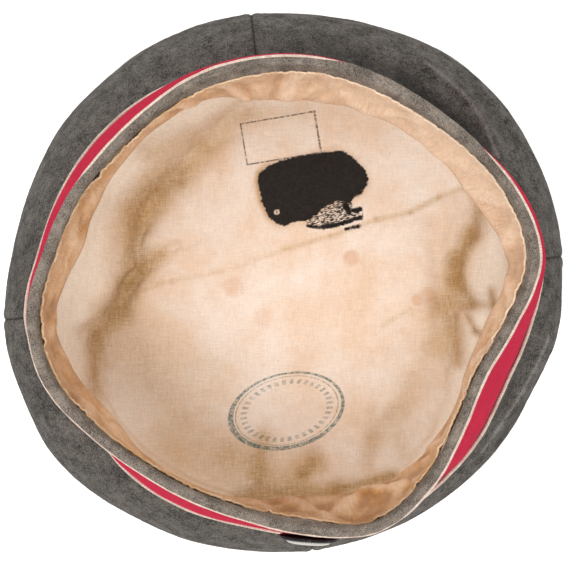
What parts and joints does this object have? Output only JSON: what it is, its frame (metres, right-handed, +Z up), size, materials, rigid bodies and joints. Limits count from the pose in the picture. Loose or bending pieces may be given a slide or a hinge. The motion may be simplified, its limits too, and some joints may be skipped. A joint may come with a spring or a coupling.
{
  "type": "forage cap",
  "caption": "Round peakless wool forage cap with a red band, piped edges, sweatband, lining and a small cockade, lying on its crown.",
  "frame": {"origin": "point on the surface under the crown's flat top, where the lines through the crown's side seams cross", "axes": "+Z up out of the head opening; -Y the front, with the cockade; +X the right of the picture"},
  "size_m": [0.2324, 0.2244, 0.1036],
  "materials": {
    "grey_wool": "worn milled wool, matte",
    "red_wool": "milled wool, matte",
    "cream_wool": "soiled wool cord, matte",
    "tan_cotton": "thin worn cotton, slight sheen",
    "cream_linen": "plain woven linen, stained",
    "black_enamel": "enamelled pressed metal, worn"
  },
  "bodies": {
    "root": {"crown_top": "grey_wool", "crown_panel_back_right": "grey_wool", "crown_panel_back_left": "grey_wool", "crown_panel_front_left": "grey_wool", "crown_panel_front_right": "grey_wool", "band": "red_wool", "waist_piping": "cream_wool", "rim_piping": "cream_wool", "rim_facing": "grey_wool", "sweatband": "tan_cotton", "lining": "cream_linen", "cockade": "black_enamel"}
  },
  "joints": []
}
